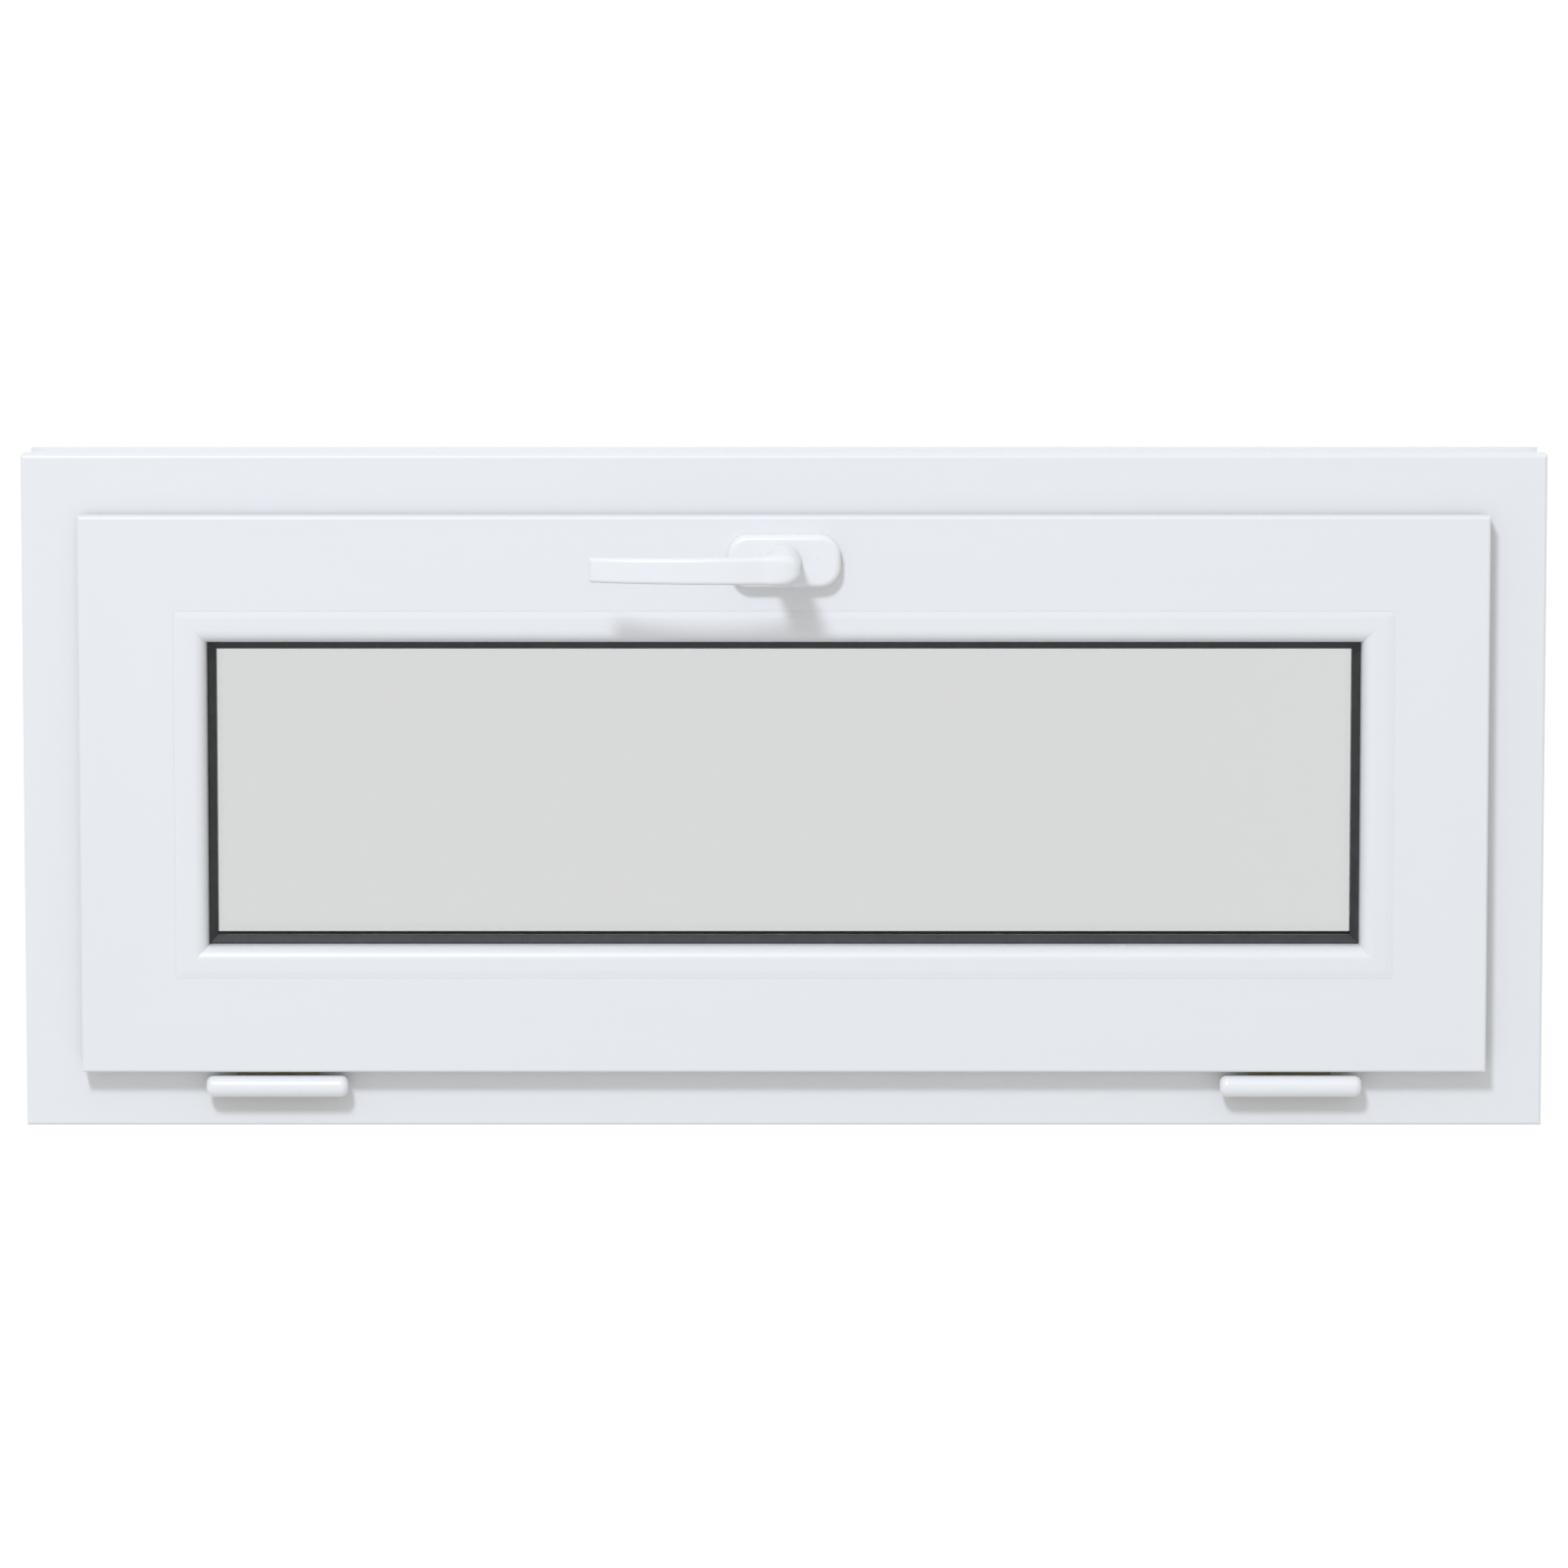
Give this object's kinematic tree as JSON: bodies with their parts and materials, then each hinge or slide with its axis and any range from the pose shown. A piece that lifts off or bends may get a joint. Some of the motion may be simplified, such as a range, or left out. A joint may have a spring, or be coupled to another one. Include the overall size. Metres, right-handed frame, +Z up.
{
  "type": "bottom-hung casement window",
  "caption": "Low, wide white plastic window whose sash tilts into the room on bottom hinges, with a lever handle on the top rail, sliding locks, side stays and double glazing.",
  "frame": {"origin": "middle of the outer frame's lower edge, on its room-side face", "axes": "+X to the right seen from the room, +Y outdoors, +Z up"},
  "size_m": [0.9, 0.155, 0.4],
  "materials": {
    "pvc_white": "white extruded plastic, satin, with a faint extrusion grain",
    "hardware_white": "white powder coat on cast metal, satin gloss",
    "gasket_black": "black rubber lip seal, matt",
    "glass_clear": "clear float glass",
    "spacer_aluminium": "mill finish spacer bar",
    "sealant_black": "black edge sealant",
    "block_plastic": "dark moulded glazing block",
    "steel_galvanised": "galvanised rolled steel",
    "steel_bright": "bright zinc plated steel, lightly brushed",
    "zinc_plated": "yellow-olive passivated zinc plate"
  },
  "bodies": {
    "frame": {"frame_sill": "pvc_white", "frame_head": "pvc_white", "frame_jamb_left": "pvc_white", "frame_jamb_right": "pvc_white", "frame_steels": "steel_galvanised", "frame_gasket": "gasket_black", "drain_caps": "pvc_white", "keeper_left": "steel_bright", "keeper_right": "steel_bright", "keeper_screws": "zinc_plated", "hinge_frame_leaf_left": "zinc_plated", "hinge_frame_leaf_right": "zinc_plated", "hinge_frame_screws": "zinc_plated", "hinge_pin_left": "steel_bright", "hinge_pin_right": "steel_bright", "stay_bracket_left": "steel_bright", "stay_bracket_right": "steel_bright", "stay_bracket_screws": "zinc_plated"},
    "sash": {"sash_bottom_rail": "pvc_white", "sash_top_rail": "pvc_white", "sash_stile_left": "pvc_white", "sash_stile_right": "pvc_white", "sash_steels": "steel_galvanised", "sash_gasket": "gasket_black", "bead_bottom": "pvc_white", "bead_top": "pvc_white", "bead_left": "pvc_white", "bead_right": "pvc_white", "glass_gasket_inner": "gasket_black", "glass_gasket_outer": "gasket_black", "pane_inner": "glass_clear", "pane_outer": "glass_clear", "glass_spacer": "spacer_aluminium", "glass_edge_seal": "sealant_black", "setting_blocks": "block_plastic", "hinge_sash_leaf_left": "zinc_plated", "hinge_sash_leaf_right": "zinc_plated", "hinge_sash_screws": "zinc_plated", "hinge_cap_left": "hardware_white", "hinge_cap_right": "hardware_white", "stay_guide_left": "steel_bright", "stay_guide_right": "steel_bright", "stay_guide_screws": "zinc_plated", "gearbox_housing": "steel_bright", "gearbox_cover": "steel_bright", "lock_faceplate": "steel_bright", "faceplate_screws": "zinc_plated", "handle_base_plate": "steel_bright", "handle_rosette": "hardware_white", "handle_screws": "zinc_plated"},
    "handle": {"handle_lever": "hardware_white", "handle_spindle": "steel_bright", "handle_pinion": "steel_bright"},
    "drive_rod": {"drive_rod": "steel_bright", "locking_rollers": "steel_bright"},
    "stay_left": {"stay_arm_left": "steel_bright"},
    "stay_right": {"stay_arm_right": "steel_bright"}
  },
  "joints": [
    {"name": "sash_tilt", "type": "hinge", "parent": "frame", "child": "sash", "pos_m": [0, -0.012, 0.0258], "axis": [1, 0, 0], "range_deg": [0, 25]},
    {"name": "handle_turn", "type": "hinge", "parent": "sash", "child": "handle", "pos_m": [0, -0.018, 0.3395], "axis": [0, -1, 0], "range_deg": [0, 90]},
    {"name": "drive_rod_slide", "type": "slide", "parent": "sash", "child": "drive_rod", "axis": [1, 0, 0], "range_m": [0, 0.01571]},
    {"name": "stay_left_swing", "type": "hinge", "parent": "frame", "child": "stay_left", "pos_m": [-0.4055, 0.0077, 0.14214], "axis": [1, 0, 0], "range_deg": [0, 50]},
    {"name": "stay_right_swing", "type": "hinge", "parent": "frame", "child": "stay_right", "pos_m": [0.4055, 0.0077, 0.14214], "axis": [1, 0, 0], "range_deg": [0, 50]}
  ],
  "couplings": [
    {"joint": "drive_rod_slide", "follows": "handle_turn", "m_per_rad": 0.01},
    {"joint": "stay_left_swing", "follows": "sash_tilt", "ratio": 2},
    {"joint": "stay_right_swing", "follows": "sash_tilt", "ratio": 2}
  ]
}
